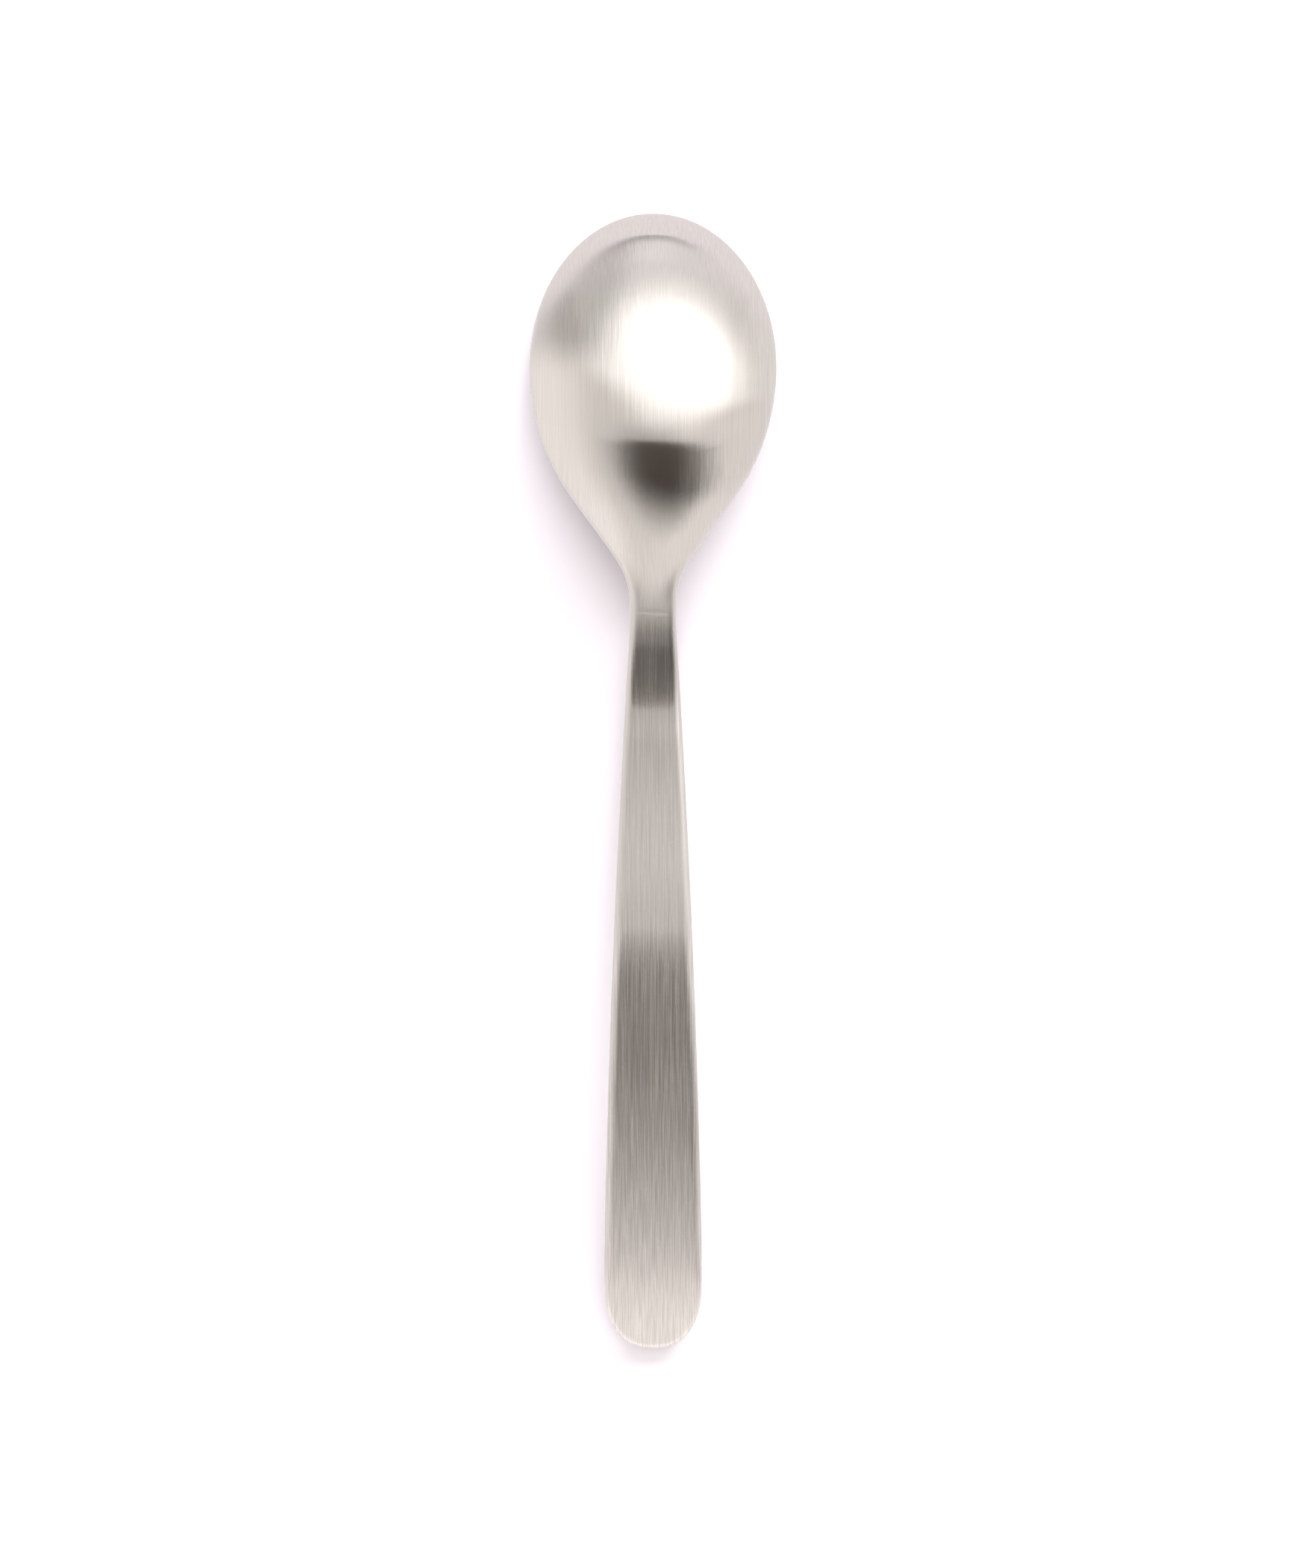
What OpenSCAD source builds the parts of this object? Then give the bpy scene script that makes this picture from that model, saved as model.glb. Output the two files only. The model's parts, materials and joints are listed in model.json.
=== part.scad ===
// Table spoon, pressed from one blank of stainless steel.
// It lies face down: the bowl's tip and the handle's end rest on z = 0 and the back of the bowl is uppermost.
// +Y runs from the handle to the bowl's tip, and the origin is under the middle of the spoon.
// Stations are distances from the bowl's tip. Heights and widths are those of the middle of the sheet.

/* [Length] */
// Length from the bowl's tip to the handle's end
spoon_length = 190.8; // [170:0.2:215]

/* [Bowl outline] */
// Width of the bowl at its widest
bowl_width = 41.2; // [37:0.1:45]
// Station of the bowl's widest place, and the length of its round front
bowl_widest_at = 26; // [23:0.1:30]
// Station where the bowl's flank runs straight for a moment, between its round back and the neck's hollow curve
flank_at = 48; // [45:0.1:51]
// Width of the bowl at that station
flank_width = 27.2; // [24:0.1:30]
// Angle of the flank to the spoon's axis
flank_angle = 36; // [30:0.5:42]

/* [Handle outline] */
// Station where the neck has turned into the handle
neck_end_at = 72.4; // [68:0.1:76]
// Width of the handle at that station
neck_end_width = 8.2; // [7.4:0.1:9]
// Angle at which each side of the handle opens there
neck_flare_angle = 3.4; // [2:0.1:4.5]
// Width of the handle at its widest
handle_width = 16.4; // [14:0.1:19]
// Length of the handle's round end, past its widest place
end_round_length = 11.4; // [9:0.1:14]
// How square that round end is: 2 is an ellipse
end_squareness = 2.4; // [2:0.1:3.5]

/* [Profile] */
// Height of the rim at the bowl's tip
tip_height = 0.6; // [0.5:0.05:1.2]
// Angle at which the sheet rises from that rim
tip_angle = 58; // [48:0.5:62]
// Station of the bowl's crown
crown_at = 40; // [36:0.1:43]
// Height of the crown
crown_height = 14.5; // [12:0.1:17]
// Station where the back of the bowl falls most steeply
fall_at = 61; // [59:0.1:63]
// Height at that station
fall_height = 8.2; // [7:0.1:9.5]
// Angle of the fall
fall_angle = 26; // [22:0.5:31]
// Station of the neck's lowest place
valley_at = 76.6; // [74:0.1:80]
// Height of that place
valley_height = 4.4; // [3.5:0.1:5.5]
// Station where the handle has risen out of that dip
climb_at = 85.4; // [83:0.1:89]
// Height of that place
climb_height = 4.65; // [4.3:0.05:5.5]
// Angle at which the handle climbs there
climb_angle = 3.4; // [2.5:0.1:4.5]
// Distance from the handle's crest to its end
crest_from_end = 53.8; // [50:0.1:58]
// Height of the crest
crest_height = 9; // [8.2:0.1:10.4]
// Height of the handle's end
end_height = 1; // [0.8:0.05:1.5]
// Angle at which the handle comes down at its end
end_angle = 16.5; // [13:0.5:20]
// Angle at which the bowl's rim climbs from the tip
rim_angle = 9; // [7:0.5:11]
// Station where the rim has met the level of the spine, and the sheet is flat from side to side
rim_end_at = 66.6; // [64:0.1:68]
// How full the bowl is from side to side: 2 is a parabola
bowl_fullness = 2.2; // [2:0.05:2.8]

/* [Sheet] */
// Thickness of the bowl
bowl_thickness = 1.15; // [0.9:0.05:1.5]
// Thickness of the neck
neck_thickness = 2.6; // [2.2:0.05:3.2]
// Thickness of the handle
handle_thickness = 2.2; // [1.8:0.05:2.6]
// Thickness of the handle's end
end_thickness = 1.8; // [1.4:0.05:2.4]

/* [Hidden] */

// How far each curve keeps its first and its last direction, as shares of the curve's own run
shoulder_shares = [0.21, 0.38];
flank_shares = [0.54, 0.53];
handle_shares = [0.56, 0.05];
rise_shares = [0.18, 0.45];
fall_shares = [0.44, 0.28];
neck_shares = [0.15, 0.45];
dip_shares = [0.15, 0.45];
climb_shares = [0.48, 0.22];
droop_shares = [0.15, 0.4];
rim_shares = [0.5, 0.2];

// Where the thickness starts and stops changing
neck_thickens_from = flank_at;
handle_thins_to = valley_at + (valley_at - neck_end_at);
handle_end_at = spoon_length - end_round_length;
crest_at = spoon_length - crest_from_end;

// Where the mesh's middle line starts and stops, as shares of the round front and of the round end
front_pole_share = 0.5;
end_pole_share = 0.5;

// Counts of steps along each stretch of the outline, around an edge and from an edge to the middle
front_steps = 16;
shoulder_steps = 8;
flank_steps = 14;
handle_steps = 34;
end_steps = 12;
edge_steps = 4;
cross_steps = 10;
table_steps = 48;

// How much the handle's steps gather towards the neck, where the spoon bends most: 1 is not at all
neck_gathering = 1.5;

// The least station at which the slope of the round front is worked out
nearest_station = bowl_widest_at / pow(table_steps, 2);

// Control points of a cubic curve from one place to another, each with an angle and a share of the run
function span(start, start_angle, end, end_angle, shares) =
    let (run = end[0] - start[0])
    [
        start,
        start + run * shares[0] * [1, tan(start_angle)],
        end - run * shares[1] * [1, tan(end_angle)],
        end
    ];

function curve_point(c, t) =
    pow(1 - t, 3) * c[0] + 3 * pow(1 - t, 2) * t * c[1] + 3 * (1 - t) * t * t * c[2] + pow(t, 3) * c[3];

function curve_steepness(c, t) =
    let (run = pow(1 - t, 2) * (c[1] - c[0]) + 2 * (1 - t) * t * (c[2] - c[1]) + t * t * (c[3] - c[2]))
    run[1] / run[0];

function curve_points(c, steps) = [for (i = [0:steps]) curve_point(c, i / steps)];

// Tables for lookup(): the value against the station, and its steepness against the station
function value_table(curves) = [for (c = curves) each curve_points(c, table_steps)];
function steepness_table(curves) = [
    for (c = curves, i = [0:table_steps])
        [curve_point(c, i / table_steps)[0], curve_steepness(c, i / table_steps)]
];

// Half of the outline, from the bowl's widest place to the handle's
widest = [bowl_widest_at, bowl_width / 2];
flank = [flank_at, flank_width / 2];
neck_end = [neck_end_at, neck_end_width / 2];
handle_end = [handle_end_at, handle_width / 2];
shoulder_curve = span(widest, 0, flank, -flank_angle, shoulder_shares);
flank_curve = span(flank, -flank_angle, neck_end, neck_flare_angle, flank_shares);
handle_curve = span(neck_end, neck_flare_angle, handle_end, 0, handle_shares);
side_curves = [shoulder_curve, flank_curve, handle_curve];
side_table = value_table(side_curves);
side_steepness = steepness_table(side_curves);

// The spine runs along the middle of the spoon, and the rim along its edge as far as the neck
tip = [0, tip_height];
crown = [crown_at, crown_height];
fall = [fall_at, fall_height];
valley = [valley_at, valley_height];
climb = [climb_at, climb_height];
crest = [crest_at, crest_height];
spine_curves = [
    span(tip, tip_angle, crown, 0, rise_shares),
    span(crown, 0, fall, -fall_angle, fall_shares),
    span(fall, -fall_angle, valley, 0, neck_shares),
    span(valley, 0, climb, climb_angle, dip_shares),
    span(climb, climb_angle, crest, 0, climb_shares),
    span(crest, 0, [spoon_length, end_height], -end_angle, droop_shares)
];
spine_table = value_table(spine_curves);
spine_steepness = steepness_table(spine_curves);
rim_end = [rim_end_at, lookup(rim_end_at, spine_table)];
rim_curves = [span(tip, rim_angle, rim_end, atan(lookup(rim_end_at, spine_steepness)), rim_shares)];
rim_table = value_table(rim_curves);
rim_steepness = steepness_table(rim_curves);

// Half-width of the outline at a station, and how fast it grows there
function half_width(s) =
    s < bowl_widest_at
        ? bowl_width / 2 * sqrt(1 - pow(1 - s / bowl_widest_at, 2))
        : lookup(s, side_table);
function half_width_growth(s) =
    s < bowl_widest_at
        ? bowl_width / 2 / bowl_widest_at * (1 - s / bowl_widest_at) / sqrt(1 - pow(1 - s / bowl_widest_at, 2))
        : lookup(s, side_steepness);

// Height of the middle of the sheet, with its steepness across and along, at x from the axis and a station
function sheet(x, station) =
    station >= rim_end_at
        ? [lookup(station, spine_table), 0, lookup(station, spine_steepness)]
        : let (
            s = max(station, nearest_station),
            width = half_width(s),
            side = min(abs(x) / width, 1),
            drop = pow(side, bowl_fullness),
            depth = lookup(s, spine_table) - lookup(s, rim_table),
            rim_slope = lookup(s, rim_steepness),
            depth_slope = lookup(s, spine_steepness) - rim_slope
        )
        [
            lookup(station, rim_table) + depth * (1 - drop),
            -sign(x) * bowl_fullness * depth * pow(side, bowl_fullness - 1) / width,
            rim_slope + depth_slope * (1 - drop) + bowl_fullness * depth * drop * half_width_growth(s) / width
        ];

// A smooth change from 0 to 1 between two stations
function eased(s, from, to) =
    let (t = min(max((s - from) / (to - from), 0), 1))
    t * t * (3 - 2 * t);

function thickness(s) =
    bowl_thickness
    + (neck_thickness - bowl_thickness) * eased(s, neck_thickens_from, rim_end_at)
    + (handle_thickness - neck_thickness) * eased(s, rim_end_at, handle_thins_to)
    + (end_thickness - handle_thickness) * eased(s, crest_at, spoon_length);

// The right-hand edge from the tip to the handle's end: each entry is a place on the outline and the station
// of the place on the axis that faces it
function front_edge() = [
    for (i = [0:front_steps - 1])
        let (turn = 90 * i / front_steps)
        [
            bowl_width / 2 * sin(turn),
            bowl_widest_at * (1 - cos(turn)),
            bowl_widest_at * (front_pole_share + (1 - front_pole_share) * i / front_steps)
        ]
];
function side_edge(c, steps, gathering) = [
    for (i = [0:steps - 1])
        let (place = curve_point(c, pow(i / steps, gathering)))
        [place[1], place[0], place[0]]
];
function end_edge() = [
    for (i = [0:end_steps])
        let (turn = 90 * i / end_steps)
        [
            handle_width / 2 * pow(cos(turn), 2 / end_squareness),
            handle_end_at + end_round_length * pow(sin(turn), 2 / end_squareness),
            handle_end_at + end_round_length * (1 - end_pole_share) * i / end_steps
        ]
];
edge = concat(
    front_edge(),
    side_edge(shoulder_curve, shoulder_steps, 1),
    side_edge(flank_curve, flank_steps, 1),
    side_edge(handle_curve, handle_steps, neck_gathering),
    end_edge()
);
last = len(edge) - 1;
ring = 2 * last;

// The way into the sheet, square to the outline, at each entry of the edge
function inward(i) =
    i == 0 ? [0, 1]
    : i == last ? [0, -1]
    : let (along = edge[i + 1] - edge[i - 1], run = norm([along[0], along[1]]))
      [-along[1], along[0]] / run;

// Levels from the outline to the axis: a share of the edge's rounding across and through the sheet, and the
// share of the way back from the axis
levels = concat(
    [for (k = [1:edge_steps]) let (turn = 90 * k / edge_steps) [1 - cos(turn), sin(turn), 1]],
    [for (k = [1:cross_steps - 1]) [1, 1, 1 - k / cross_steps]],
    [[1, 1, 0]]
);

// The place of entry i at a level, on the back of the sheet where face is 1 and on its front where it is -1
function sheet_point(i, level, face) =
    let (
        rounding = thickness(edge[i][1]) / 2,
        inset = [edge[i][0], edge[i][1]] + level[0] * rounding * inward(i),
        axis = [0, edge[i][2]],
        place = axis + level[2] * (inset - axis),
        here = sheet(place[0], place[1]),
        normal = [-here[1], -here[2], 1] / norm([here[1], here[2], 1])
    )
    [place[0], place[1], here[0]] + face * level[1] * thickness(place[1]) / 2 * normal;

// The ring runs down the right side from the tip and back up the left side
function mirrored(p, left) = left ? [-p[0], p[1], p[2]] : p;
function ring_entry(q) = q <= last ? q : ring - q;
function ring_points(level, face) = [
    for (q = [0:ring - 1]) mirrored(sheet_point(ring_entry(q), level, face), q > last)
];
function axis_points(face) = [for (i = [0:last]) sheet_point(i, levels[len(levels) - 1], face)];
function face_points(face) = concat(
    [for (k = [0:len(levels) - 2]) each ring_points(levels[k], face)],
    axis_points(face)
);

// Numbers of the points: the outline comes first, then the back's rings and axis, then the front's
ring_levels = len(levels) - 1;
face_count = ring_levels * ring + last + 1;
function point_number(level, q, face) =
    let (first = ring + (face > 0 ? 0 : face_count))
    level == 0 ? q % ring
    : level <= ring_levels ? first + (level - 1) * ring + q % ring
    : first + ring_levels * ring + ring_entry(q % ring);

// Two triangles for each cell, split so that the two poles have no flat corner
function cell(a, b, c, d, first_way) = first_way ? [[a, b, d], [b, c, d]] : [[a, b, c], [a, c, d]];
function flipped(triangles) = [for (t = triangles) [t[0], t[2], t[1]]];
function face_cells(face) = [
    for (level = [0:ring_levels], q = [0:ring - 1])
        each cell(
            point_number(level, q, face),
            point_number(level, q + 1, face),
            point_number(level + 1, q + 1, face),
            point_number(level + 1, q, face),
            q % last < last / 2
        )
];

// The bent sheet is set down so that its tip and its end both touch the table
function lowest(points) = min([for (p = points) p[2]]);
function near_tip(points) = [for (p = points) if (p[1] < spoon_length / 2) p];
function near_end(points) = [for (p = points) if (p[1] >= spoon_length / 2) p];
function seated(points) =
    let (
        tip_low = lowest(near_tip(points)),
        end_low = lowest(near_end(points)),
        level = [for (p = points) [p[0], p[1], p[2] - tip_low - (end_low - tip_low) * p[1] / spoon_length]],
        low = lowest(level),
        stations = [for (p = points) p[1]],
        middle = (min(stations) + max(stations)) / 2
    )
    [for (p = level) [p[0], middle - p[1], p[2] - low]];

module spoon() {
    outline = ring_points([0, 0, 1], 1);
    points = seated(concat(outline, face_points(1), face_points(-1)));
    color([0.74, 0.72, 0.7])
        polyhedron(points = points, faces = concat(face_cells(1), flipped(face_cells(-1))), convexity = 6);
}

spoon();
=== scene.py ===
"""A brushed steel table spoon, lying face down on a white table, seen from straight above."""

import json
import logging
import math
from dataclasses import dataclass
from enum import Enum

import bpy
import numpy
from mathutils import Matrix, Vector

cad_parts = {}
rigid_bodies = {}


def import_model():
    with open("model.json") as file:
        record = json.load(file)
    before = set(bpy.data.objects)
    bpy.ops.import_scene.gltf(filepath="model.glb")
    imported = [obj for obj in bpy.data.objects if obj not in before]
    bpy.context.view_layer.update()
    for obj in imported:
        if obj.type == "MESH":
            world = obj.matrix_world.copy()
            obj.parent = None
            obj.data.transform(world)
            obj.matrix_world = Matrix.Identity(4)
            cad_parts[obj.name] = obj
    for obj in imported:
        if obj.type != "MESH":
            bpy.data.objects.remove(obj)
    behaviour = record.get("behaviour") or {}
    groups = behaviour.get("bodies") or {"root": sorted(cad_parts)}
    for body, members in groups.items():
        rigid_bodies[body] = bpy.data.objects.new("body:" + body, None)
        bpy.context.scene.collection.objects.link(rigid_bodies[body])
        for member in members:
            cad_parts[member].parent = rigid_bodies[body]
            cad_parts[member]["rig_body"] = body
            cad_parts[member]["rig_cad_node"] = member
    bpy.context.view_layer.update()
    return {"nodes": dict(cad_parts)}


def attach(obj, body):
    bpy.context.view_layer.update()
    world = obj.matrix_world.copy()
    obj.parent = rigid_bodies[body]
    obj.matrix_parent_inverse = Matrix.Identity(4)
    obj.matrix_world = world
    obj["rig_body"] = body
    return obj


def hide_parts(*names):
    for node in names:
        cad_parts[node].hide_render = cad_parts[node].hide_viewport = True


MM = 0.001
LOG = logging.getLogger("table_spoon")
Socket = bpy.types.NodeSocket
Value = float | Socket
Colour = tuple[float, float, float]
Direction = tuple[float, float, float]
Way = tuple[Socket, Socket, Socket]
Pair = tuple[float, float]  # across, and along
Fade = tuple[float, float]  # where a mask is 0, and where it is 1


class RayKind(Enum):
    """The kinds of ray that a stage object can hide from."""

    CAMERA = "visible_camera"
    DIFFUSE = "visible_diffuse"
    GLOSSY = "visible_glossy"
    TRANSMISSION = "visible_transmission"
    SHADOW = "visible_shadow"


class Mixed(Enum):
    """What a Mix node mixes, with its sockets for the mask, both ends and the result."""

    NUMBER = ("FLOAT", 0, 2, 3, 0)
    COLOUR = ("RGBA", 0, 6, 7, 2)


class Side(Enum):
    """Which side of a limit a soft edge covers."""

    BELOW = 1
    ABOVE = -1


class Axis(Enum):
    """The parts of a direction, by their number."""

    X = 0
    Y = 1
    Z = 2


def deselect_all() -> None:
    """Leaves object mode with nothing selected."""
    if bpy.context.object and bpy.context.object.mode != "OBJECT":
        bpy.ops.object.mode_set(mode="OBJECT")
    bpy.ops.object.select_all(action="DESELECT")


def select_only(piece: bpy.types.Object) -> None:
    """Selects one object and makes it the active one.

    Args:
        piece: The object to work on.
    """
    deselect_all()
    piece.select_set(True)
    bpy.context.view_layer.objects.active = piece


def add_plane(name: str, size: Pair, place: Direction) -> bpy.types.Object:
    """Adds a flat stage object.

    Args:
        name: Its name.
        size: Its width and depth in metres.
        place: Its middle.

    Returns:
        The stage object.
    """
    deselect_all()
    bpy.ops.mesh.primitive_plane_add(size=1, location=place)
    plane = bpy.context.object
    plane.name = name
    plane.scale = (*size, 1)
    bpy.ops.object.transform_apply(location=False, rotation=False, scale=True)
    return plane


def hide_from(piece: bpy.types.Object, *kinds: RayKind) -> None:
    """Hides a stage object from some kinds of ray."""
    for kind in kinds:
        setattr(piece, kind.value, False)


def smooth_share(value: float, start: float, end: float) -> float:
    """Rises smoothly from 0 to 1 as a value passes from start to end."""
    share = min(max((value - start) / (end - start), 0.0), 1.0)
    return share * share * (3 - 2 * share)


class Graph:
    """A node tree, with short ways to add nodes and join them."""

    def __init__(self, owner: bpy.types.Material | bpy.types.World) -> None:
        """Gives a new material or world an empty node tree.

        Args:
            owner: The material or the world.
        """
        owner.use_nodes = True
        self.tree = owner.node_tree
        self.tree.nodes.clear()

    def node(self, kind: str, **settings: object) -> bpy.types.Node:
        """Adds a node.

        Args:
            kind: The node's type, as Blender names it.
            settings: Its settings, by their own names.

        Returns:
            The node.
        """
        node = self.tree.nodes.new(kind)
        for name, setting in settings.items():
            setattr(node, name, setting)
        return node

    def feed(self, socket: Socket, value: Value | Colour) -> None:
        """Sets an input, or joins it to an output.

        Args:
            socket: The input.
            value: A number, a colour, a vector or the output to join.
        """
        if isinstance(value, bpy.types.NodeSocket):
            self.tree.links.new(value, socket)
        elif isinstance(value, tuple) and len(socket.default_value) == 4:
            socket.default_value = (*value, 1)
        else:
            socket.default_value = value

    def sum(self, operation: str, *values: Value) -> Socket:
        """Adds a Math node.

        Args:
            operation: The sum to do, as Blender names it.
            values: Its values, in order.

        Returns:
            The result.
        """
        node = self.node("ShaderNodeMath", operation=operation)
        for socket, value in zip(node.inputs, values):
            self.feed(socket, value)
        return node.outputs[0]

    def product(self, first: Value, *others: Value) -> Value:
        """Multiplies values one after another.

        Args:
            first: The first value.
            others: The values to multiply it by.

        Returns:
            The product.
        """
        for other in others:
            first = self.sum("MULTIPLY", first, other)
        return first

    def soft_step(self, value: Value, zero_at: float, one_at: float) -> Socket:
        """Makes a mask that turns smoothly from 0 to 1 as a value passes between two numbers.

        Args:
            value: The value to watch.
            zero_at: Where the mask is 0.
            one_at: Where the mask is 1.

        Returns:
            The mask.
        """
        node = self.node("ShaderNodeMapRange", interpolation_type="SMOOTHSTEP")
        self.feed(node.inputs["Value"], value)
        falls = zero_at > one_at
        node.inputs["From Min"].default_value = min(zero_at, one_at)
        node.inputs["From Max"].default_value = max(zero_at, one_at)
        node.inputs["To Min"].default_value = 1 if falls else 0
        node.inputs["To Max"].default_value = 0 if falls else 1
        return node.outputs["Result"]

    def _mix(self, mixed: Mixed, *values: Value | Colour) -> Socket:
        """Adds a Mix node.

        Args:
            mixed: What it mixes.
            values: The mask, what stands at 0 and what stands at 1.

        Returns:
            The mixture.
        """
        data_type, *inputs, output = mixed.value
        node = self.node("ShaderNodeMix", data_type=data_type)
        for number, value in zip(inputs, values):
            self.feed(node.inputs[number], value)
        return node.outputs[output]

    def between(self, value: Value, low: Value, high: Value) -> Socket:
        """Runs from one number to another as a mask runs from 0 to 1."""
        return self._mix(Mixed.NUMBER, value, low, high)

    def tint(self, value: Value, low: Colour, high: Colour) -> Socket:
        """Runs from one colour to another as a mask runs from 0 to 1."""
        return self._mix(Mixed.COLOUR, value, low, high)

    def scaled(self, colour: Colour, factor: Value) -> Socket:
        """Makes a colour brighter or darker.

        Args:
            colour: The colour.
            factor: What to multiply it by.

        Returns:
            The colour.
        """
        node = self.node("ShaderNodeVectorMath", operation="SCALE")
        node.inputs[0].default_value = colour
        self.feed(node.inputs["Scale"], factor)
        return node.outputs[0]

    def place(self) -> Socket:
        """Gives the place on the piece, in its own metres."""
        return self.node("ShaderNodeTexCoord").outputs["Object"]

    def axes(self, vector: Socket) -> Way:
        """Splits a vector.

        Args:
            vector: The vector.

        Returns:
            Its X, Y and Z.
        """
        node = self.node("ShaderNodeSeparateXYZ")
        self.feed(node.inputs[0], vector)
        return tuple(node.outputs)

    def blend(self, value: Value, first: Socket, second: Socket) -> Socket:
        """Mixes two shaders.

        Args:
            value: The share of the second.
            first: The shader at 0.
            second: The shader at 1.

        Returns:
            The mixed shader.
        """
        node = self.node("ShaderNodeMixShader")
        for socket, part in zip(node.inputs, (value, first, second)):
            self.feed(socket, part)
        return node.outputs[0]

    def show(self, shader: Socket, output: str = "ShaderNodeOutputMaterial") -> None:
        """Joins a shader to the output of the material or of the world."""
        self.feed(self.node(output).inputs["Surface"], shader)


def new_material(name: str) -> tuple[bpy.types.Material, Graph]:
    """Makes an empty material, and gives it with its graph."""
    material = bpy.data.materials.new(name)
    return material, Graph(material)


@dataclass(frozen=True)
class BrushedSteel:
    """Stainless steel with a satin finish, brushed along the spoon."""

    slot: str = "brushed_steel"
    colour: Colour = (0.66, 0.64, 0.61)
    bowl_ends: Fade = (28 * MM, 46 * MM)
    neck_ends: Fade = (-18 * MM, 10 * MM)
    low_handle_ends: Fade = (-20 * MM, -32 * MM)
    # painted reflection: where the handle's end is brightened in its colour
    painted_reflection_ends: Fade = (-77 * MM, -89 * MM)
    bowl_roughness: float = 0.11
    handle_roughness: float = 0.085
    uneven_roughness: float = 0.1
    anisotropy: float = 1.0
    scratch_pitch: float = 0.0005 * MM
    steepest_scratch: float = 0.96
    bowl_scratch_tilt: float = 0.07
    neck_scratch_tilt: float = 0.23
    handle_scratch_tilt: float = 0.385
    uneven_scratches: float = 0.4
    streak_size: Pair = (0.13 * MM, 14 * MM)
    wide_streak_size: Pair = (1.3 * MM, 50 * MM)
    streak_height_gain: float = 10
    streak_detail: float = 1
    streak_fineness: float = 0.5
    streak_middle: float = 0.5
    streak_fade: Fade = (0.25, 0.75)
    streak_tilt: float = 0.1
    bowl_streak_share: float = 0.96
    high_handle_streak_share: float = 0.95
    low_handle_streak_share: float = 0.87
    # painted shade: the neck and the high handle are darkened in their colour
    high_handle_painted_shade: float = 0.91
    # painted reflection: how much the handle's end is brightened
    painted_reflection_gain: float = 1.14

    def material(self, uv_name: str) -> bpy.types.Material:
        """Makes the material.

        Args:
            uv_name: The map whose first axis runs across the brushing.

        Returns:
            The material.
        """
        material, graph = new_material(self.slot)
        shader = graph.node("ShaderNodeBsdfPrincipled")
        place = graph.place()
        x, y, _ = graph.axes(place)
        bowl = graph.soft_step(y, *self.bowl_ends)
        streaks = self._streaks(graph, place, self.streak_size)
        wide_streaks = self._streaks(graph, place, self.wide_streak_size)
        tangent = graph.node("ShaderNodeTangent", direction_type="UV_MAP", uv_map=uv_name)
        inputs = {
            "Metallic": 1,
            "Anisotropic": self.anisotropy,
            "Base Color": self._grain_and_painted_light(graph, y, bowl, streaks),
            "Roughness": self._roughness(graph, bowl, wide_streaks),
            "Normal": self._normal(graph, self._tilt(graph, x, y, bowl, streaks)),
            "Tangent": tangent.outputs["Tangent"],
        }
        for name, value in inputs.items():
            graph.feed(shader.inputs[name], value)
        graph.show(shader.outputs["BSDF"])
        return material

    def _streaks(self, graph: Graph, place: Socket, size: Pair) -> Socket:
        """Makes noise that is drawn out along the spoon.

        Args:
            graph: The material's graph.
            place: The place on the piece.
            size: The distance from streak to streak, and a streak's length.

        Returns:
            The noise, from 0 to 1.
        """
        pitch, length = size
        mapping = graph.node("ShaderNodeMapping")
        scale = (1 / pitch, 1 / length, 1 / (self.streak_height_gain * pitch))
        mapping.inputs["Scale"].default_value = scale
        graph.feed(mapping.inputs["Vector"], place)
        noise = graph.node("ShaderNodeTexNoise")
        noise.inputs["Scale"].default_value = 1
        noise.inputs["Detail"].default_value = self.streak_detail
        noise.inputs["Roughness"].default_value = self.streak_fineness
        graph.feed(noise.inputs["Vector"], mapping.outputs["Vector"])
        return noise.outputs["Fac"]

    def _grain_and_painted_light(self, graph: Graph, y: Socket, bowl: Socket, streaks: Socket) -> Socket:
        """Brightens and dulls the streaks by as much, darkens the neck and the high handle with
        painted shade, and brightens the handle's end with a painted reflection.

        Args:
            graph: The material's graph.
            y: The place along the spoon.
            bowl: The mask of the bowl.
            streaks: The fine streaks.

        Returns:
            The base colour.
        """
        low = graph.soft_step(y, *self.low_handle_ends)
        dullest = graph.between(low, self.high_handle_streak_share, self.low_handle_streak_share)
        dullest = graph.between(bowl, dullest, self.bowl_streak_share)
        brightest = graph.sum("SUBTRACT", 2.0, dullest)
        share = graph.between(graph.soft_step(streaks, *self.streak_fade), dullest, brightest)
        # painted shade: between the bowl and the low handle the colour is darkened
        off_high = graph.sum("MAXIMUM", bowl, low)
        painted_shade = graph.between(off_high, self.high_handle_painted_shade, 1.0)
        # painted reflection: the colour grows brighter towards the handle's end
        painted_reflection = graph.between(graph.soft_step(y, *self.painted_reflection_ends), 1.0, self.painted_reflection_gain)
        return graph.scaled(self.colour, graph.product(share, painted_shade, painted_reflection))

    def _roughness(self, graph: Graph, bowl: Socket, streaks: Socket) -> Socket:
        """Makes the bowl a little rougher than the handle, and both uneven.

        Args:
            graph: The material's graph.
            bowl: The mask of the bowl.
            streaks: The wide streaks.

        Returns:
            The roughness.
        """
        level = graph.between(bowl, self.handle_roughness, self.bowl_roughness)
        least, most = 1 - self.uneven_roughness, 1 + self.uneven_roughness
        return graph.sum("MULTIPLY", level, graph.between(streaks, least, most))

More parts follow.
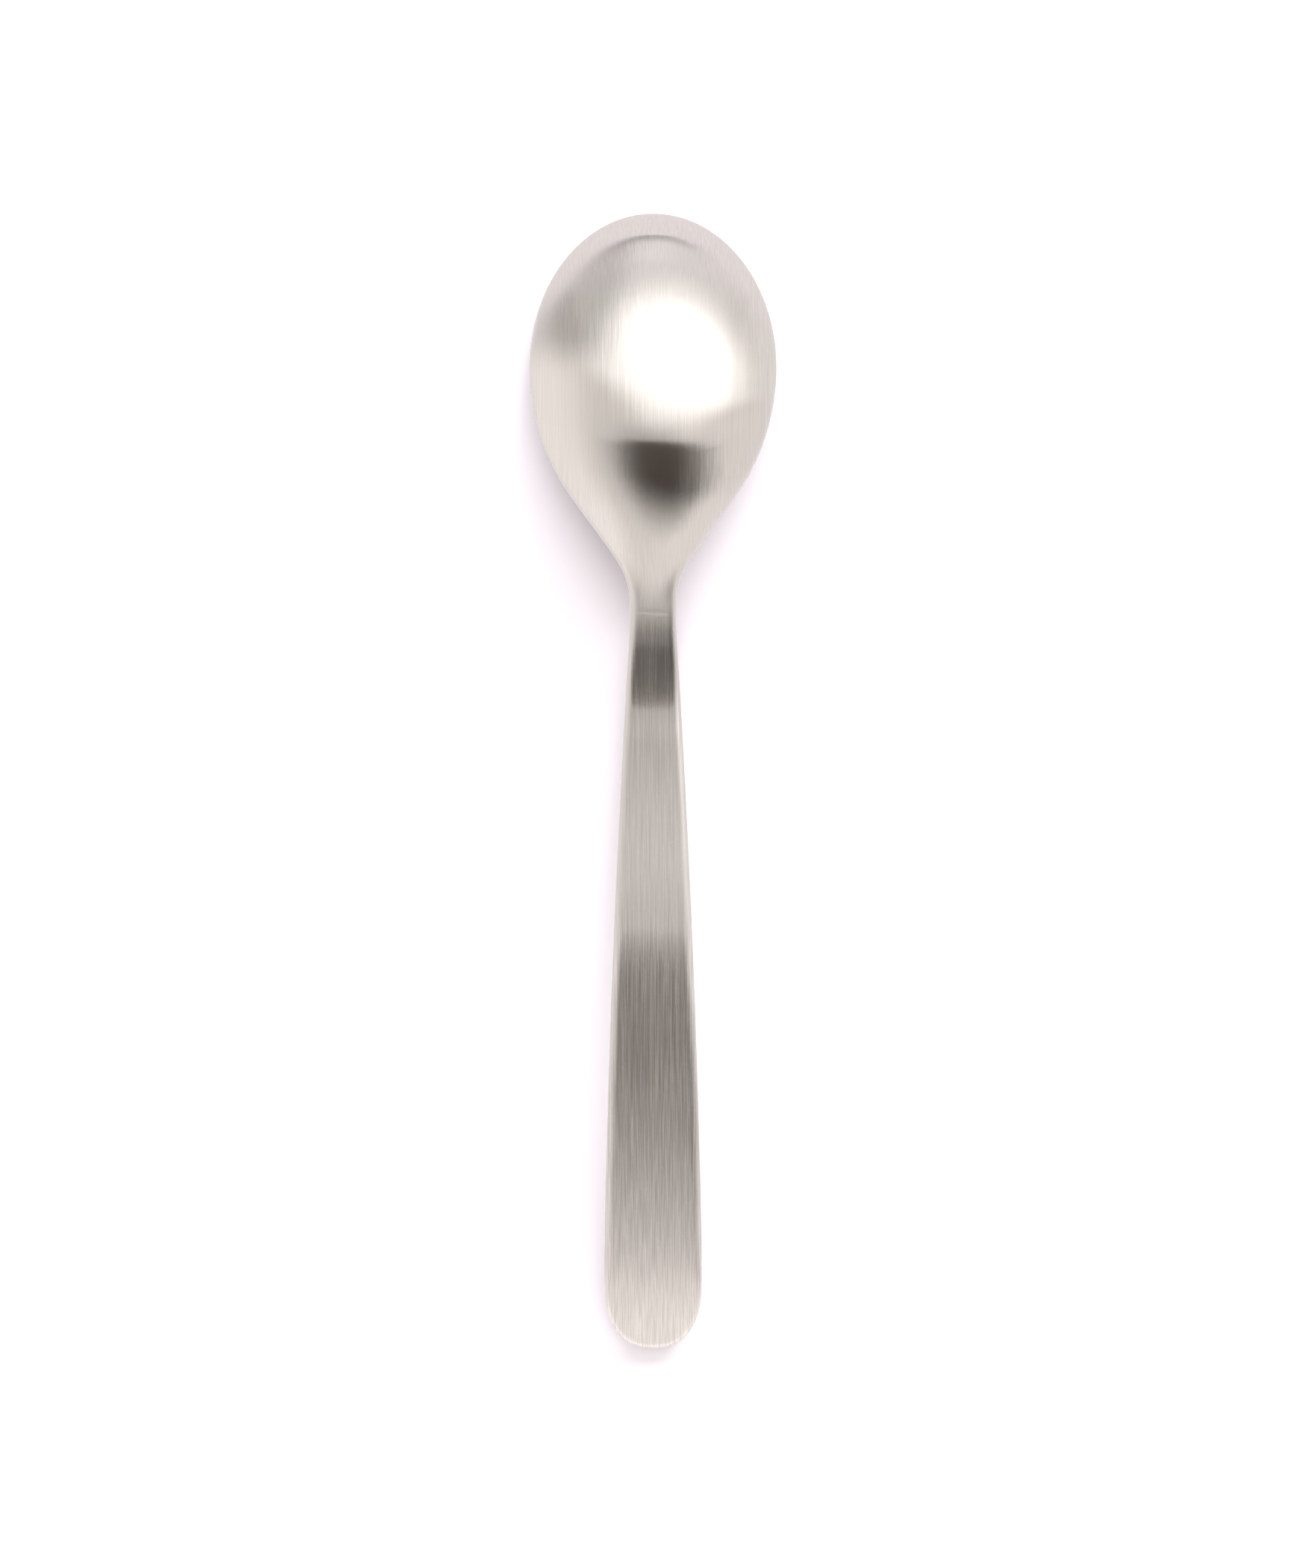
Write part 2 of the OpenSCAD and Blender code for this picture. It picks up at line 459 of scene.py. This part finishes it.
    def _tilt(self, graph: Graph, x: Socket, y: Socket, bowl: Socket, streaks: Socket) -> Socket:
        """Tilts the surface from scratch to scratch, and less from streak to streak.

        Args:
            graph: The material's graph.
            x: The place across the spoon.
            y: The place along the spoon.
            bowl: The mask of the bowl.
            streaks: The fine streaks.

        Returns:
            The slope across the spoon.
        """
        least, most = 1 - self.uneven_scratches, 1 + self.uneven_scratches
        neck = graph.soft_step(y, *self.neck_ends)
        level = graph.between(neck, self.handle_scratch_tilt, self.neck_scratch_tilt)
        level = graph.between(bowl, level, self.bowl_scratch_tilt)
        level = graph.sum("MULTIPLY", level, graph.between(streaks, least, most))
        tilt = graph.sum("MULTIPLY", self._scratches(graph, x), level)
        off_middle = graph.sum("SUBTRACT", streaks, self.streak_middle)
        return graph.sum("MULTIPLY_ADD", off_middle, self.streak_tilt, tilt)

    def _scratches(self, graph: Graph, x: Socket) -> Socket:
        """Gives each fine scratch a slope of its own, most of them shallow and a few steep.

        Args:
            graph: The material's graph.
            x: The place across the spoon.

        Returns:
            The slope across, for a tilt of 1.
        """
        chance = graph.node("ShaderNodeTexWhiteNoise", noise_dimensions="1D")
        scratch = graph.sum("FLOOR", graph.sum("DIVIDE", x, self.scratch_pitch))
        graph.feed(chance.inputs["W"], scratch)
        turn = chance.outputs["Value"]
        turn = graph.between(turn, -self.steepest_scratch, self.steepest_scratch)
        rest = graph.sum("SUBTRACT", 1.0, graph.sum("MULTIPLY", turn, turn))
        return graph.sum("DIVIDE", turn, graph.sum("SQRT", rest))

    def _normal(self, graph: Graph, tilt: Socket) -> Socket:
        """Tilts the surface from side to side.

        Args:
            graph: The material's graph.
            tilt: The slope across the spoon.

        Returns:
            The normal.
        """
        across = graph.node("ShaderNodeCombineXYZ")
        graph.feed(across.inputs["X"], tilt)
        turned = graph.node("ShaderNodeVectorTransform", vector_type="VECTOR")
        turned.convert_from, turned.convert_to = "OBJECT", "WORLD"
        graph.feed(turned.inputs[0], across.outputs[0])
        tilted = graph.node("ShaderNodeVectorMath", operation="ADD")
        graph.feed(tilted.inputs[0], graph.node("ShaderNodeNewGeometry").outputs["Normal"])
        graph.feed(tilted.inputs[1], turned.outputs[0])
        unit = graph.node("ShaderNodeVectorMath", operation="NORMALIZE")
        graph.feed(unit.inputs[0], tilted.outputs[0])
        return unit.outputs[0]


@dataclass
class SpoonSheet:
    """The whole spoon, as one smooth sheet of steel made from a copy of the model's own mesh."""

    node: str = "spoon"
    name: str = "brushed_spoon"
    merge_distance: float = 0.002 * MM
    quad_face_turn: float = math.radians(40)
    quad_corner_turn: float = math.radians(60)
    smoothing_levels: int = 2
    uv_name: str = "brushing"
    uv_middle: float = 0.5
    flank_place: float = 53 * MM
    flank_reach: float = 6 * MM
    flank_drop: float = 0.14 * MM
    flank_most: float = 2.5
    flank_end: float = 93 * MM
    flank_width: float = 9 * MM
    border_reach: float = 2.2 * MM
    border_gain: float = 0.9
    border_ends: tuple[float, float, float, float] = (-90 * MM, -80 * MM, -40 * MM, 0)
    border_turn: float = 0.2
    border_curve_degree: int = 5
    mark_place: float = 27.85 * MM
    mark_slope: float = -0.05
    mark_half_width: float = 3.1 * MM
    mark_squareness: int = 4
    mark_rise: float = 0.8 * MM
    mark_rise_cuts: int = 3
    mark_fall: float = 0.2 * MM
    mark_fall_cuts: int = 4
    mark_height: float = 0.008 * MM
    mark_search: float = 2.4 * MM
    mark_turn: float = 0.8
    neck_sag: float = 0.09 * MM
    neck_sag_ends: tuple[float, float, float] = (6 * MM, 19 * MM, 40 * MM)
    piece: bpy.types.Object | None = None

    def build(self, source: bpy.types.Object) -> bpy.types.Object:
        """Models the spoon.

        Args:
            source: The model's own spoon, which stays as it is.

        Returns:
            The finished piece.
        """
        self._copy_merged(source)
        self._smooth()
        self._sag_neck()
        self._ease_flanks()
        self._widen_border()
        self._raise_neck_mark()
        self._unwrap_from_above()
        return self.piece

    def _copy_merged(self, source: bpy.types.Object) -> None:
        """Copies the model's mesh, merges its loose triangles and joins them into quads.

        Args:
            source: The model's own spoon.
        """
        select_only(source)
        bpy.ops.object.duplicate(linked=False)
        self.piece = bpy.context.object
        self.piece.name = self.name
        self.piece.data.name = self.name
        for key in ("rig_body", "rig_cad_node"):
            if key in self.piece:
                del self.piece[key]
        self.piece.parent = None
        self.piece.data.materials.clear()
        bpy.ops.object.mode_set(mode="EDIT")
        bpy.ops.mesh.select_all(action="SELECT")
        bpy.ops.mesh.remove_doubles(threshold=self.merge_distance)
        bpy.ops.mesh.tris_convert_to_quads(
            face_threshold=self.quad_face_turn, shape_threshold=self.quad_corner_turn
        )
        bpy.ops.object.mode_set(mode="OBJECT")

    def _smooth(self) -> None:
        """Rounds the facets off with a subdivision surface."""
        select_only(self.piece)
        subdivision = self.piece.modifiers.new("sheet", "SUBSURF")
        subdivision.levels = subdivision.render_levels = self.smoothing_levels
        bpy.ops.object.modifier_apply(modifier=subdivision.name)
        bpy.ops.object.shade_smooth()

    def _sag_neck(self) -> None:
        """Lowers the neck by less than a tenth of a millimetre, to bend it nearer to the bowl."""
        low, lowest, high = self.neck_sag_ends
        for vertex in self.piece.data.vertices:
            y = vertex.co.y
            share = smooth_share(y, low, lowest) * (1 - smooth_share(y, lowest, high))
            vertex.co.z -= self.neck_sag * share

    def _ease_flanks(self) -> None:
        """Lowers the bowl's flanks by up to a third of a millimetre, between its middle and tip."""
        low, full = self.flank_place - self.flank_reach, self.flank_place + self.flank_reach
        for vertex in self.piece.data.vertices:
            x, y, _ = vertex.co
            share = smooth_share(y, low, full) * (1 - smooth_share(y, full, self.flank_end))
            drop = self.flank_drop * min((x / self.flank_width) ** 2, self.flank_most)
            vertex.co.z -= drop * share

    def _widen_border(self) -> None:
        """Draws the rounding of the handle's upper border inwards, and leaves its outline."""
        mesh = self.piece.data
        upward = [vertex.normal.z for vertex in mesh.vertices]
        low, full_low, full_high, high = self.border_ends
        outline = [
            (vertex.co.y, vertex.co.x)
            for vertex, turn in zip(mesh.vertices, upward)
            if vertex.co.x > 0
            and abs(turn) < self.border_turn
            and low - self.border_reach < vertex.co.y < high + self.border_reach
        ]
        half_width = numpy.poly1d(numpy.polyfit(*zip(*outline), self.border_curve_degree))
        for vertex, turn in zip(mesh.vertices, upward):
            x, y, _ = vertex.co
            if turn < self.border_turn or not low < y < high:
                continue
            distance = max(half_width(y) - abs(x), 0)
            if distance >= self.border_reach:
                continue
            share = smooth_share(y, low, full_low) * (1 - smooth_share(y, full_high, high))
            inward = distance * self.border_gain * share * (1 - distance / self.border_reach) ** 2
            vertex.co.x -= math.copysign(inward, x)

    def _raise_neck_mark(self) -> None:
        """Raises the fine line that crosses the back of the neck, steep on the handle's side."""
        select_only(self.piece)
        mesh = self.piece.data
        self._cut_neck_mark()
        upward = [vertex.normal.z for vertex in mesh.vertices]
        for vertex, turn in zip(mesh.vertices, upward):
            place = vertex.co
            if turn < self.mark_turn or abs(place.x) > self.mark_half_width:
                continue
            past = place.y - self.mark_place - self.mark_slope * place.x
            rise = (past + self.mark_fall / 2) / self.mark_fall
            if rise > 1:
                rise = 1 - (past - self.mark_fall / 2) / self.mark_rise
            side = 1 - (abs(place.x) / self.mark_half_width) ** self.mark_squareness
            place.z += self.mark_height * side * smooth_share(rise, 0, 1)

    def _cut_neck_mark(self) -> None:
        """Cuts the neck's faces across, where the fine line starts, stands highest and ends."""
        mesh = self.piece.data
        half = self.mark_fall / 2
        cuts = [
            self.mark_fall * step / self.mark_fall_cuts - half
            for step in range(self.mark_fall_cuts + 1)
        ]
        cuts += [
            self.mark_rise * step / self.mark_rise_cuts + half
            for step in range(1, self.mark_rise_cuts + 1)
        ]
        across = Vector((-self.mark_slope, 1, 0))
        for cut in cuts:
            for face in mesh.polygons:
                near = abs(face.center.y - self.mark_place) < self.mark_search
                inside = abs(face.center.x) < self.mark_half_width
                face.select = near and inside and face.normal.z > self.mark_turn
            bpy.ops.object.mode_set(mode="EDIT")
            bpy.ops.mesh.select_mode(type="FACE")
            bpy.ops.mesh.bisect(plane_co=(0, self.mark_place + cut, 0), plane_no=across)
            bpy.ops.object.mode_set(mode="OBJECT")

    def _unwrap_from_above(self) -> None:
        """Lays a map over the sheet whose first axis runs across the spoon, as the scratches do."""
        mesh = self.piece.data
        while mesh.uv_layers:
            mesh.uv_layers.remove(mesh.uv_layers[0])
        layer = mesh.uv_layers.new(name=self.uv_name)
        length = self.piece.dimensions.y
        for loop in mesh.loops:
            place = mesh.vertices[loop.vertex_index].co / length
            layer.data[loop.index].uv = (self.uv_middle + place.x, self.uv_middle + place.y)

    def dress(self, steel: BrushedSteel) -> None:
        """Gives the sheet its finish, brushed along the spoon."""
        self.piece.data.materials.append(steel.material(self.uv_name))


@dataclass(frozen=True)
class Table:
    """The white table that the spoon lies on."""

    size: float = 4000 * MM
    drop: float = 0.02 * MM
    colour: Colour = (0.6, 0.59, 0.6)
    seen_colour: Colour = (1.32, 1.279, 1.36)
    mirrored_colour: Colour = (1.13, 1.06, 1.09)
    white_ends: Fade = (500 * MM, 900 * MM)

    def build(self) -> None:
        """Lays the table, plain white far from the spoon and even where the steel mirrors it."""
        table = add_plane("white_table", (self.size, self.size), (0, 0, -self.drop))
        material, graph = new_material("white_table")
        path = graph.node("ShaderNodeLightPath")
        seen = path.outputs["Is Camera Ray"]
        paper = graph.node("ShaderNodeBsdfDiffuse")
        graph.feed(paper.inputs["Color"], graph.tint(seen, self.colour, self.seen_colour))
        mirrored = graph.node("ShaderNodeEmission")
        graph.feed(mirrored.inputs["Color"], self.mirrored_colour)
        unscattered = graph.sum("LESS_THAN", path.outputs["Diffuse Depth"], 1.0)
        share = graph.sum("MULTIPLY", path.outputs["Is Glossy Ray"], unscattered)
        near = graph.blend(share, paper.outputs[0], mirrored.outputs[0])
        x, y, _ = graph.axes(graph.place())
        squares = (graph.sum("MULTIPLY", part, part) for part in (x, y))
        distance = graph.sum("SQRT", graph.sum("ADD", *squares))
        far = graph.sum("MULTIPLY", graph.soft_step(distance, *self.white_ends), seen)
        white = graph.node("ShaderNodeEmission")
        graph.show(graph.blend(far, near, white.outputs[0]))
        table.data.materials.append(material)


@dataclass(frozen=True)
class SoftLight:
    """The large soft light beyond the bowl's tip, bright in its middle and fading outwards."""

    height: float = 760 * MM
    middle: Pair = (520 * MM, 430 * MM)
    reach: Pair = (940 * MM, 290 * MM)
    width_in_reaches: Pair = (4.4, 7.6)
    steepness: Pair = (3.5, 1.9)
    level: float = 1.55
    cut_off: float = 0.07
    near_edge: Fade = (103 * MM, 210 * MM)
    left_lean: float = 0.23
    right_lean: float = 0.06

    def build(self) -> None:
        """Hangs the light, which shows in the steel and nowhere else."""
        size = tuple(share * reach for share, reach in zip(self.width_in_reaches, self.reach))
        light = add_plane("soft_light", size, (*self.middle, self.height))
        material, graph = new_material("soft_light")
        x, y, _ = graph.axes(graph.place())
        glow = graph.node("ShaderNodeEmission")
        strength = graph.sum("MULTIPLY", self._glow(graph, x, y), self._near_edge(graph, x, y))
        graph.feed(glow.inputs["Strength"], strength)
        clear = graph.node("ShaderNodeBsdfTransparent")
        both = graph.node("ShaderNodeAddShader")
        graph.feed(both.inputs[0], glow.outputs[0])
        graph.feed(both.inputs[1], clear.outputs[0])
        graph.show(both.outputs[0])
        light.data.materials.append(material)
        hide_from(light, RayKind.CAMERA, RayKind.DIFFUSE, RayKind.SHADOW)

    def _glow(self, graph: Graph, x: Socket, y: Socket) -> Socket:
        """Makes the glow, which falls off from the middle and ends where it is faint.

        Args:
            graph: The light's graph.
            x: The place across, from the light's middle.
            y: The place along, from the light's middle.

        Returns:
            The glow's strength.
        """
        falls = []
        for place, reach, steepness in zip((x, y), self.reach, self.steepness):
            share = graph.sum("ABSOLUTE", graph.sum("DIVIDE", place, reach))
            falls.append(graph.sum("POWER", share, steepness))
        fall = graph.sum("ADD", graph.sum("ADD", *falls), 1.0)
        level = graph.sum("DIVIDE", self.level, fall)
        return graph.sum("MAXIMUM", graph.sum("SUBTRACT", level, self.cut_off * self.level), 0.0)

    def _near_edge(self, graph: Graph, x: Socket, y: Socket) -> Socket:
        """Makes the light's soft edge towards the spoon, which leans away at both sides.

        Args:
            graph: The light's graph.
            x: The place across, from the light's middle.
            y: The place along, from the light's middle.

        Returns:
            The mask of the lit side.
        """
        middle_x, middle_y = self.middle
        left = graph.sum("MINIMUM", graph.sum("ADD", x, middle_x), 0.0)
        right = graph.sum("MAXIMUM", x, 0.0)
        lean = graph.sum("MULTIPLY", left, self.left_lean)
        lean = graph.sum("MULTIPLY_ADD", right, -self.right_lean, lean)
        dark, lit = (place - middle_y for place in self.near_edge)
        return graph.soft_step(graph.sum("ADD", y, lean), dark, lit)


@dataclass(frozen=True)
class SideLight:
    """A low, wide light that only lights the table, and so gives it a part of its shadow."""

    name: str
    azimuth: float
    height: float
    radiance: float
    distance: float = 1500 * MM
    size: Pair = (1200 * MM, 660 * MM)

    def build(self) -> None:
        """Stands the light up, turned to the spoon."""
        azimuth = math.radians(self.azimuth)
        place = Vector((math.cos(azimuth), math.sin(azimuth), 0)) * self.distance
        place.z = self.height
        data = bpy.data.lights.new(self.name, "AREA")
        data.shape = "RECTANGLE"
        data.size, data.size_y = self.size
        data.energy = self.radiance * math.pi * data.size * data.size_y
        lamp = bpy.data.objects.new(self.name, data)
        lamp.location = place
        lamp.rotation_euler = (-place).to_track_quat("-Z", "Y").to_euler()
        bpy.context.scene.collection.objects.link(lamp)
        hide_from(lamp, RayKind.CAMERA, RayKind.GLOSSY)


@dataclass(frozen=True)
class SoftEdge:
    """An edge of a card, straight and softened, given in the card's own millimetres."""

    side: Side
    at: float
    softness: float
    slant: float = 0
    bow: float = 0
    bow_middle: float = 0
    bow_reach: float = 900
    cover_beyond: float = 0
    along_y: bool = True

    def mask(self, graph: Graph, x: Socket, y: Socket) -> Socket:
        """Makes the mask of the side that the edge covers.

        Args:
            graph: The card's graph.
            x: The place across, in millimetres.
            y: The place along, in millimetres.

        Returns:
            The mask, which is 1 on the covered side.
        """
        main, other = (y, x) if self.along_y else (x, y)
        reach = graph.sum("MULTIPLY_ADD", other, -self.slant, main)
        off_middle = graph.sum("ABSOLUTE", graph.sum("SUBTRACT", other, self.bow_middle))
        bent = graph.sum("MINIMUM", off_middle, self.bow_reach)
        reach = graph.sum("MULTIPLY_ADD", graph.sum("MULTIPLY", bent, bent), -self.bow, reach)
        half = self.side.value * self.softness / 2
        mask = graph.soft_step(reach, self.at + half, self.at - half)
        return graph.between(mask, self.cover_beyond, 1.0)


@dataclass(frozen=True)
class DarkCard:
    """The dark card above, which the level parts of the spoon mirror, and the shade beyond it."""

    size: Pair = (4400 * MM, 3400 * MM)
    colour: Colour = (0.076, 0.065, 0.057)
    edges: tuple[SoftEdge, ...] = (
        SoftEdge(Side.BELOW, at=108, softness=3, bow=-0.0001, bow_middle=-50),
        SoftEdge(Side.ABOVE, at=-368, softness=480, slant=-0.27),
        SoftEdge(Side.ABOVE, at=-440, softness=660, along_y=False),
        SoftEdge(Side.BELOW, at=860, softness=900, slant=-0.8, along_y=False),
        SoftEdge(Side.BELOW, at=420, softness=260, cover_beyond=0.85, along_y=False),
    )
    shade_cover: float = 0.42
    shade_middle: float = -60
    shade_sides: Fade = (440, 154)
    shade_far_edge: Fade = (165, 105.6)
    shade_near_edge: Fade = (0, 66)

    def build(self, height: float) -> None:
        """Hangs the card, which shows in the steel and nowhere else.

        Args:
            height: Its height above the table.
        """
        card = add_plane("dark_card", self.size, (0, 0, height))
        material, graph = new_material("dark_card")
        x, y = (graph.sum("DIVIDE", part, MM) for part in graph.axes(graph.place())[:2])
        cover = graph.product(*(edge.mask(graph, x, y) for edge in self.edges))
        cover = graph.sum("MAXIMUM", cover, self._shade(graph, x, y))
        clear = graph.node("ShaderNodeBsdfTransparent")
        dark = graph.node("ShaderNodeBsdfDiffuse")
        graph.feed(dark.inputs["Color"], self.colour)
        graph.show(graph.blend(cover, clear.outputs[0], dark.outputs[0]))
        card.data.materials.append(material)
        hide_from(card, RayKind.CAMERA, RayKind.DIFFUSE, RayKind.SHADOW, RayKind.TRANSMISSION)

    def _shade(self, graph: Graph, x: Socket, y: Socket) -> Socket:
        """Makes the half-dark shade beyond the card's front edge, over the spoon.

        Args:
            graph: The card's graph.
            x: The place across, in millimetres.
            y: The place along, in millimetres.

        Returns:
            The mask of the shade.
        """
        off_middle = graph.sum("ABSOLUTE", graph.sum("SUBTRACT", x, self.shade_middle))
        sides = graph.soft_step(off_middle, *self.shade_sides)
        far = graph.soft_step(y, *self.shade_far_edge)
        near = graph.soft_step(y, *self.shade_near_edge)
        return graph.product(sides, far, near, self.shade_cover)


@dataclass(frozen=True)
class Limit:
    """A soft limit of a part of the room, along one axis, that may lean with the height."""

    axis: Axis
    zero_at: float
    one_at: float
    lean: float = 0

    def mask(self, graph: Graph, way: Way) -> Socket:
        """Makes the mask of the limit's inner side.

        Args:
            graph: The world's graph.
            way: The direction in which the room is seen.

        Returns:
            The mask.
        """
        value = way[self.axis.value]
        if self.lean:
            value = graph.sum("MULTIPLY_ADD", way[Axis.Z.value], self.lean, value)
        return graph.soft_step(value, self.zero_at, self.one_at)


@dataclass(frozen=True)
class Band:
    """A straight band round the room, by two directions along its middle line.

    Its distances are taken from that line, to where its mask starts and to where it is whole.
    """

    start: Direction
    end: Direction
    soft_distance: float
    solid_distance: float

    def mask(self, graph: Graph, way: Way) -> Socket:
        """Makes the mask of the great circle that the band lies on.

        Args:
            graph: The world's graph.
            way: The direction in which the room is seen.

        Returns:
            The mask.
        """
        across = Vector(self.start).cross(Vector(self.end)).normalized()
        distance = 0.0
        for part, share in zip(way, across):
            distance = graph.sum("MULTIPLY_ADD", part, share, distance)
        distance = graph.sum("ABSOLUTE", distance)
        return graph.soft_step(distance, self.soft_distance, self.solid_distance)


@dataclass(frozen=True)
class DarkArea:
    """A dark part of the room, within all its limits, that only the steel mirrors."""

    limits: tuple[Limit | Band, ...]
    depth: float
    foot: Limit | None = None
    foot_depth: float = 0

    def mask(self, graph: Graph, way: Way) -> Socket:
        """Makes the mask of the dark part.

        Args:
            graph: The world's graph.
            way: The direction in which the room is seen.

        Returns:
            The mask.
        """
        depth = self.depth
        if self.foot:
            depth = graph.between(self.foot.mask(graph, way), self.foot_depth, self.depth)
        return graph.product(*(limit.mask(graph, way) for limit in self.limits), depth)


@dataclass(frozen=True)
class Room:
    """The even light of the room, with the brighter and darker parts that the steel mirrors."""

    left_colour: Colour = (1.055, 1.0, 0.97)
    far_colour: Colour = (1.05, 1.0, 1.01)
    white: Colour = (1.0, 1.0, 1.0)
    left_level: float = 1.16
    right_level: float = 0.96
    overhead_level: float = 0.84
    table_level: float = 0.66
    near_gain: float = 1.2
    far: Limit = Limit(Axis.Y, 0.3, 0.95)
    low: Limit = Limit(Axis.Z, 0.68, 0.3)
    right: Limit = Limit(Axis.X, -0.3, 0.5)
    near: Limit = Limit(Axis.Y, -0.4, -0.8)
    far_edge: DarkArea = DarkArea(
        (
            Limit(Axis.Z, 0.16, 0.02),
            Limit(Axis.X, 0.6, 0.3),
            Limit(Axis.X, -0.8, -0.3),
            Limit(Axis.Y, 0.1, 0.3),
        ),
        depth=0.4,
    )
    far_wall: DarkArea = DarkArea(
        (
            Limit(Axis.X, 0.14, -0.3, lean=0.5),
            Limit(Axis.X, -1.02, -0.9),
            Limit(Axis.Y, 0.2, 0.42),
        ),
        depth=0.37,
        foot=Limit(Axis.Z, -0.04, 0.07),
        foot_depth=0.2,
    )
    left_post: DarkArea = DarkArea(
        (
            Limit(Axis.X, -0.5, -0.7),
            Limit(Axis.Z, 0.49, 0.43),
            Band((-0.829, 0.559, 0.0), (-0.828, 0.253, 0.5), 0.14, 0.05),
        ),
        depth=0.3,
    )
    right_post: DarkArea = DarkArea(
        (
            Limit(Axis.X, 0.7, 0.84),
            Limit(Axis.Y, 0.0, 0.15),
            Band((0.927, 0.11, 0.358), (0.829, 0.518, 0.209), 0.13, 0.05),
        ),
        depth=0.15,
    )

    def build(self) -> None:
        """Makes the world: white to the camera, even on the table, and a room in the steel."""
        world = bpy.data.worlds.new("studio")
        bpy.context.scene.world = world
        graph = Graph(world)
        way = graph.axes(graph.node("ShaderNodeTexCoord").outputs["Generated"])
        tint = graph.tint(self.far.mask(graph, way), self.left_colour, self.far_colour)
        mirrored = self._background(graph, tint, self._level(graph, way))
        plain = self._background(graph, self.left_colour, self.table_level)
        white = self._background(graph, self.white, 1.0)
        path = graph.node("ShaderNodeLightPath")
        lit = graph.blend(path.outputs["Is Glossy Ray"], plain, mirrored)
        seen = graph.blend(path.outputs["Is Camera Ray"], lit, white)
        graph.show(seen, "ShaderNodeOutputWorld")

    def _background(self, graph: Graph, colour: Colour | Socket, strength: Value) -> Socket:
        """Adds a Background node.

        Args:
            graph: The world's graph.
            colour: Its colour.
            strength: Its strength.

        Returns:
            Its shader.
        """
        node = graph.node("ShaderNodeBackground")
        graph.feed(node.inputs["Color"], colour)
        graph.feed(node.inputs["Strength"], strength)
        return node.outputs[0]

    def _level(self, graph: Graph, way: Way) -> Socket:
        """Makes the level of light that the steel mirrors.

        Args:
            graph: The world's graph.
            way: The direction in which the room is seen.

        Returns:
            The level.
        """
        left = graph.between(self.low.mask(graph, way), self.overhead_level, self.left_level)
        level = graph.between(self.right.mask(graph, way), left, self.right_level)
        near = graph.between(self.near.mask(graph, way), 1.0, self.near_gain)
        level = graph.sum("MULTIPLY", level, near)
        for dark in (self.far_edge, self.far_wall, self.left_post, self.right_post):
            rest = graph.sum("SUBTRACT", 1.0, dark.mask(graph, way))
            level = graph.sum("MULTIPLY", level, rest)
        return level


@dataclass(frozen=True)
class OverheadCamera:
    """The camera straight above the spoon, at the photograph's framing."""

    height: float = 750 * MM
    focus_height: float = 5 * MM
    frame_px: tuple[int, int] = (1750, 2100)
    spoon_middle_px: Pair = (874.4, 1045.4)
    px_per_mm: float = 8.005
    sensor_height_mm: float = 24

    def build(self) -> None:
        """Hangs the camera, shifted so that the spoon lies where the photograph has it."""
        data = bpy.data.cameras.new("camera")
        data.sensor_fit = "VERTICAL"
        data.sensor_height = self.sensor_height_mm
        (width, height), (middle_x, middle_y) = self.frame_px, self.spoon_middle_px
        frame_height = height / self.px_per_mm * MM
        data.lens = data.sensor_height * (self.height - self.focus_height) / frame_height
        shift_x = (width / 2 - middle_x) / self.px_per_mm * MM
        shift_y = (middle_y - height / 2) / self.px_per_mm * MM
        camera = bpy.data.objects.new("camera", data)
        camera.location = (shift_x, shift_y, self.height)
        bpy.context.scene.collection.objects.link(camera)
        bpy.context.scene.camera = camera


@dataclass(frozen=True)
class Studio:
    """Everything round the spoon."""

    table: Table = Table()
    soft_light: SoftLight = SoftLight()
    side_lights: tuple[SideLight, ...] = (
        SideLight("right_light", azimuth=62, height=340 * MM, radiance=14.4),
        SideLight("far_light", azimuth=100, height=600 * MM, radiance=5.5),
    )
    dark_card: DarkCard = DarkCard()
    room: Room = Room()
    camera: OverheadCamera = OverheadCamera()

    def build(self) -> None:
        """Sets up everything that isn't part of the spoon."""
        self.table.build()
        self.soft_light.build()
        for light in self.side_lights:
            light.build()
        self.dark_card.build(self.camera.height)
        self.room.build()
        self.camera.build()


def write_sizes() -> None:
    """Brings the view layer up to date.
    """
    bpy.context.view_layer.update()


def main() -> None:
    """Builds the spoon, dresses it and sets up the studio."""
    logging.basicConfig(level=logging.INFO, format="%(message)s")
    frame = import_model()
    bpy.context.scene.view_settings.view_transform = "Standard"
    sheet = SpoonSheet()
    steel = BrushedSteel()
    spoon = sheet.build(frame["nodes"][sheet.node])
    sheet.dress(steel)
    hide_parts(sheet.node)
    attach(spoon, "root")
    LOG.info("%s: %d faces", spoon.name, len(spoon.data.polygons))
    Studio().build()
    write_sizes()


if __name__ == "__main__":
    main()
